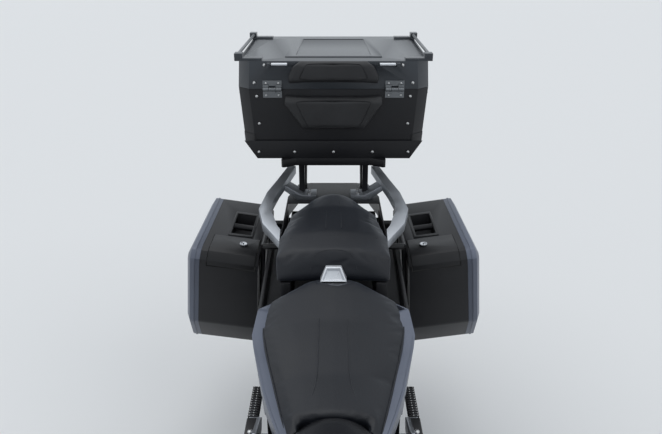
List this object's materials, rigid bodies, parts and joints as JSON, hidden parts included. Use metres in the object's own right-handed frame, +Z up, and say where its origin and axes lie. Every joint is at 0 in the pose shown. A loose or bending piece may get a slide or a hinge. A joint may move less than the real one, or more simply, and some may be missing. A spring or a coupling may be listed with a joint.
{
  "type": "sport touring motorcycle",
  "caption": "Sport touring motorcycle with a top case and two panniers, on its centre stand.",
  "frame": {"origin": "on the floor, under the middle of the motorcycle's box", "axes": "+Y towards the rear, +X to the rider's left, +Z up"},
  "size_m": [0.977, 2.5, 1.3813],
  "materials": {
    "body_paint": "metallic",
    "frame_black": "satin",
    "cast_alloy": "satin",
    "engine_grey": "satin",
    "steel": "brushed",
    "bright": "polished",
    "seat_vinyl": "grained",
    "case_black": "fine grain",
    "trim_black": "satin",
    "rubber": "matt",
    "tyre": "matt",
    "clear": "clear",
    "lamp_red": "clear"
  },
  "bodies": {
    "chassis": {"main_frame": "frame_black", "subframe": "frame_black", "engine": "engine_grey", "radiator": "cast_alloy", "exhaust": "steel", "swingarm": "frame_black", "rear_caliper": "frame_black", "rear_shock": "steel", "rear_axle": "steel", "fuel_tank": "body_paint", "rider_seat": "seat_vinyl", "passenger_seat": "seat_vinyl", "seat_catch": "bright", "side_covers": "body_paint", "tail_cowl": "trim_black", "tail_lamp": "lamp_red", "rear_fender": "trim_black", "grab_rails": "cast_alloy", "case_rack": "trim_black", "top_case_base": "case_black", "case_hinges_fixed": "steel", "backrest_pad_lower": "rubber", "pannier_shell_left": "case_black", "pannier_shell_right": "case_black", "pannier_lock_left": "trim_black", "pannier_lock_right": "trim_black", "pannier_carriers": "frame_black", "side_fairings": "body_paint", "nose_fairing": "body_paint", "headlamp": "clear", "windscreen": "clear", "dash": "trim_black", "fairing_stay": "frame_black", "mirrors": "trim_black", "rider_footrests": "cast_alloy", "passenger_footrests": "cast_alloy"},
    "steering": {"fork": "cast_alloy", "yokes": "frame_black", "handlebar": "frame_black", "grips": "rubber", "hand_levers": "frame_black", "front_fender": "body_paint", "front_calipers": "cast_alloy", "front_axle": "steel"},
    "front_wheel": {"front_rim": "cast_alloy", "front_tyre": "tyre", "front_discs": "steel"},
    "rear_wheel": {"rear_rim": "cast_alloy", "rear_tyre": "tyre", "rear_disc": "steel"},
    "centre_stand": {"centre_stand": "frame_black"},
    "side_stand": {"side_stand": "frame_black"},
    "top_case_lid": {"top_case_lid": "case_black", "case_hinges_moving": "steel", "backrest_pad_upper": "rubber"},
    "pannier_lid_left": {"pannier_lid_left": "body_paint"},
    "pannier_lid_right": {"pannier_lid_right": "body_paint"}
  },
  "joints": [
    {"name": "steering", "type": "hinge", "parent": "chassis", "child": "steering", "pos_m": [0, -0.59233, 0.95272], "axis": [0, 0.4384, 0.8988], "range_deg": [-30, 30]},
    {"name": "front_wheel", "type": "hinge", "parent": "steering", "child": "front_wheel", "pos_m": [0, -0.95, 0.3], "axis": [1, 0, 0], "continuous": true},
    {"name": "rear_wheel", "type": "hinge", "parent": "chassis", "child": "rear_wheel", "pos_m": [0, 0.51, 0.341], "axis": [1, 0, 0], "continuous": true},
    {"name": "centre_stand", "type": "hinge", "parent": "chassis", "child": "centre_stand", "pos_m": [0, 0.13, 0.282], "axis": [1, 0, 0], "range_deg": [0, 82]},
    {"name": "side_stand", "type": "hinge", "parent": "chassis", "child": "side_stand", "pos_m": [0.186, -0.19, 0.258], "axis": [-0.8984, 0.001, -0.4391], "range_deg": [0, 100]},
    {"name": "top_case_lid", "type": "hinge", "parent": "chassis", "child": "top_case_lid", "pos_m": [0, 0.793, 1.257], "axis": [1, 0, 0], "range_deg": [0, 72]},
    {"name": "pannier_lid_left", "type": "hinge", "parent": "chassis", "child": "pannier_lid_left", "pos_m": [0.45357, 0.83, 0.42651], "axis": [0, 1, 0], "range_deg": [0, 75]},
    {"name": "pannier_lid_right", "type": "hinge", "parent": "chassis", "child": "pannier_lid_right", "pos_m": [-0.45357, 0.83, 0.42651], "axis": [0, -1, 0], "range_deg": [0, 75]}
  ]
}
